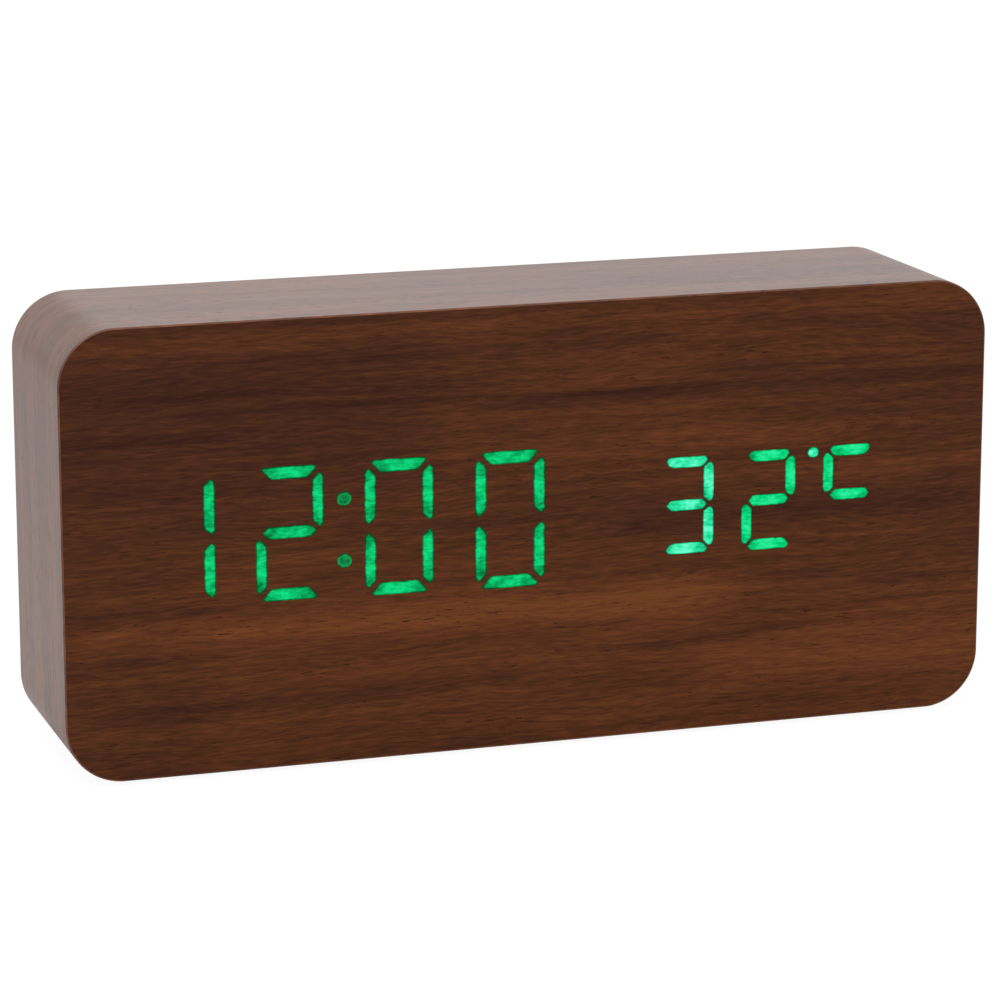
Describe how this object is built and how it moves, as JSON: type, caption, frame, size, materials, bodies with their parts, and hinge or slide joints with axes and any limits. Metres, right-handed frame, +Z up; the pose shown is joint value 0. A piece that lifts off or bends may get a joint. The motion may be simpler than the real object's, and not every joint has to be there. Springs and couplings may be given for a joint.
{
  "type": "alarm clock",
  "caption": "Rounded-block digital alarm clock: wood-grain film over an MDF case, LED time and temperature behind the front, buttons, power socket and hinged battery door at the rear.",
  "frame": {"origin": "on the surface it stands on, under the middle of the case", "axes": "+X to the right seen from the front, +Y to the rear, +Z up; the display faces -Y"},
  "size_m": [0.15, 0.034, 0.0708],
  "materials": {
    "mdf": "routed",
    "walnut_film": "wood-grain film",
    "foam": "matte",
    "reflector_white": "matte",
    "diffuser": "cast",
    "led": "cast",
    "circuit_board": "solder mask",
    "chip_black": "moulded",
    "ceramic_part": "fired",
    "tin": "tinned",
    "can_aluminium": "drawn",
    "steel_screw": "black zinc",
    "cover_abs": "fine spark texture",
    "button_abs": "satin",
    "cell_jacket": "gloss jacket",
    "spring_nickel": "nickel plated",
    "nylon_white": "moulded",
    "lead_red": "PVC",
    "lead_black": "PVC",
    "lead_grey": "PVC",
    "glass_bead": "dipped"
  },
  "bodies": {
    "case": {"case_body": "mdf", "front_film": "walnut_film", "side_film": "walnut_film", "foot_pads": "foam", "time_display_housing": "reflector_white", "temperature_display_housing": "reflector_white", "time_segments": "diffuser", "temperature_segments": "diffuser", "led_chips": "led", "display_board": "circuit_board", "display_board_screws": "steel_screw", "clock_chip": "chip_black", "driver_chip": "chip_black", "digit_transistors": "chip_black", "chip_resistors": "chip_black", "chip_capacitors": "ceramic_part", "timing_crystal": "tin", "smoothing_capacitor": "can_aluminium", "buzzer": "chip_black", "thermistor": "glass_bead", "display_board_header": "nylon_white", "button_board_header": "nylon_white", "link_cable": "lead_grey", "button_board": "circuit_board", "button_board_screws": "steel_screw", "set_switch": "chip_black", "up_switch": "chip_black", "down_switch": "chip_black", "power_socket_shell": "tin", "power_socket_tongue": "chip_black", "rear_cover": "cover_abs", "rear_cover_screws": "steel_screw", "battery_cell_1": "cell_jacket", "battery_cell_2": "cell_jacket", "battery_cell_3": "cell_jacket", "battery_springs": "spring_nickel", "battery_contact_plates": "spring_nickel", "battery_lead_red": "lead_red", "battery_lead_black": "lead_black"},
    "battery_door": {"battery_door": "cover_abs"},
    "set_button": {"set_button": "button_abs", "set_switch_plunger": "nylon_white"},
    "up_button": {"up_button": "button_abs", "up_switch_plunger": "nylon_white"},
    "down_button": {"down_button": "button_abs", "down_switch_plunger": "nylon_white"}
  },
  "joints": [
    {"name": "battery_door_hinge", "type": "hinge", "parent": "case", "child": "battery_door", "pos_m": [-0.03, 0.0139, 0.05385], "axis": [1, 0, 0], "range_deg": [0, 90]},
    {"name": "set_button_travel", "type": "slide", "parent": "case", "child": "set_button", "axis": [0, -1, 0], "range_m": [0, 0.0005], "stiffness_N_per_m": 400, "springref_m": -0.003},
    {"name": "up_button_travel", "type": "slide", "parent": "case", "child": "up_button", "axis": [0, -1, 0], "range_m": [0, 0.0005], "stiffness_N_per_m": 400, "springref_m": -0.003},
    {"name": "down_button_travel", "type": "slide", "parent": "case", "child": "down_button", "axis": [0, -1, 0], "range_m": [0, 0.0005], "stiffness_N_per_m": 400, "springref_m": -0.003}
  ]
}
